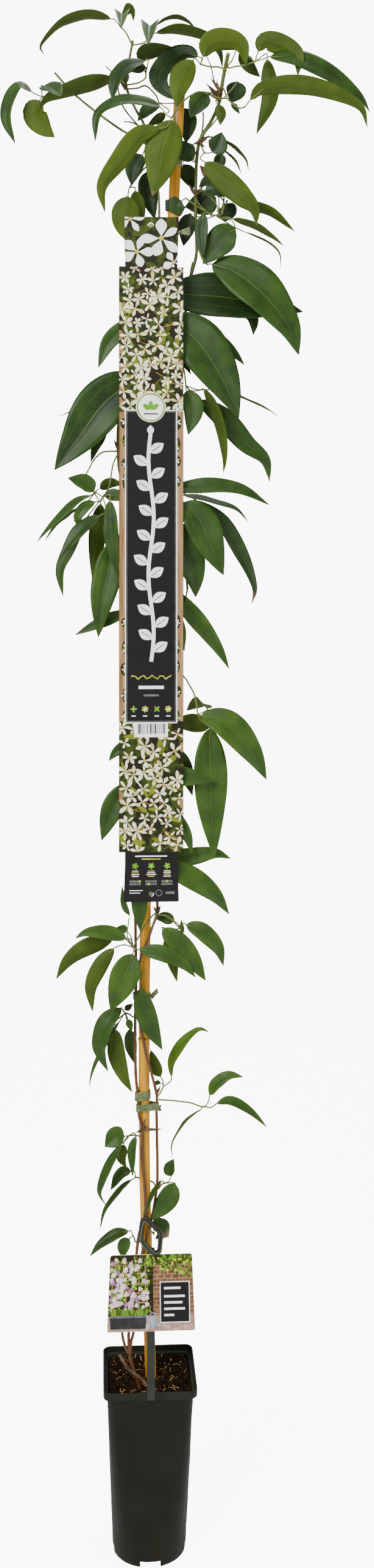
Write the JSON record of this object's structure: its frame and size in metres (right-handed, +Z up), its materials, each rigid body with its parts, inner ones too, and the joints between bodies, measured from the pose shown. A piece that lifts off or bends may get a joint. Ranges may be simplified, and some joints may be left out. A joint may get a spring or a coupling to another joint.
{
  "type": "potted climber",
  "caption": "Young armand clematis trained up a tall cane in a square black nursery pot, with soft ties, a long printed board and a small card on a strap.",
  "frame": {"origin": "centre of the pot's round foot on the ground", "axes": "+Z up along the cane, +X to the right of the picture, -Y the side the board and card face"},
  "size_m": [0.4506, 0.1319, 1.8897],
  "materials": {
    "pot_plastic": "satin black-green moulded plastic",
    "compost": "dark crumbly compost, no sheen",
    "bamboo": "smooth golden cane",
    "stem_green": "ribbed young stem, green above and brown below",
    "bark": "dry woody bark",
    "leaf_green": "leathery glossy leaf, paler underneath",
    "tie_green": "soft grey-green tie",
    "tie_dark": "dark soft tape",
    "tie_pale": "pale tape, slightly see-through",
    "board_print": "printed plastic board",
    "card_print": "printed plastic card",
    "strap_plastic": "flat moulded strap"
  },
  "bodies": {
    "root": {"pot": "pot_plastic", "soil": "compost", "cane": "bamboo", "stem": "stem_green", "old_stem": "bark", "tie_low_1": "tie_green", "tie_low_2": "tie_green", "tie_mid": "tie_green", "tie_top_1": "tie_dark", "tie_top_2": "tie_pale", "board": "board_print", "board_tie_top": "tie_pale", "board_tie_bottom": "tie_green", "card": "card_print", "strap": "strap_plastic", "ring": "tie_green", "leaf_crown_1": "leaf_green", "leaf_crown_2": "leaf_green", "leaf_crown_3": "leaf_green", "leaf_crown_4": "leaf_green", "leaf_crown_6": "leaf_green", "leaf_crown_5": "leaf_green", "leaf_left_end": "leaf_green", "leaf_centre": "leaf_green", "leaf_crown_7": "leaf_green", "leaf_right_1": "leaf_green", "leaf_right_2": "leaf_green", "leaf_upper_1": "leaf_green", "leaf_upper_2": "leaf_green", "leaf_upper_3": "leaf_green", "leaf_upper_4": "leaf_green", "leaf_upper_5": "leaf_green", "leaf_upper_6": "leaf_green", "leaf_board_right_1": "leaf_green", "leaf_board_right_2": "leaf_green", "leaf_board_right_3": "leaf_green", "leaf_board_right_4": "leaf_green", "leaf_board_right_5": "leaf_green", "leaf_board_right_6": "leaf_green", "leaf_board_right_7": "leaf_green", "leaf_board_right_8": "leaf_green", "leaf_board_left_1": "leaf_green", "leaf_board_left_2": "leaf_green", "leaf_board_left_3": "leaf_green", "leaf_board_left_4": "leaf_green", "leaf_board_left_5": "leaf_green", "leaf_board_left_7": "leaf_green", "leaf_board_left_6": "leaf_green", "leaf_low_left_1": "leaf_green", "leaf_low_left_2": "leaf_green", "leaf_low_right_1": "leaf_green", "leaf_low_left_3": "leaf_green", "leaf_low_left_4": "leaf_green", "leaf_low_right_2": "leaf_green", "leaf_low_right_3": "leaf_green", "leaf_low_left_5": "leaf_green", "leaf_low_left_6": "leaf_green", "leaf_low_right_4": "leaf_green", "leaf_low_left_7": "leaf_green", "leaf_low_right_5": "leaf_green"}
  },
  "joints": []
}
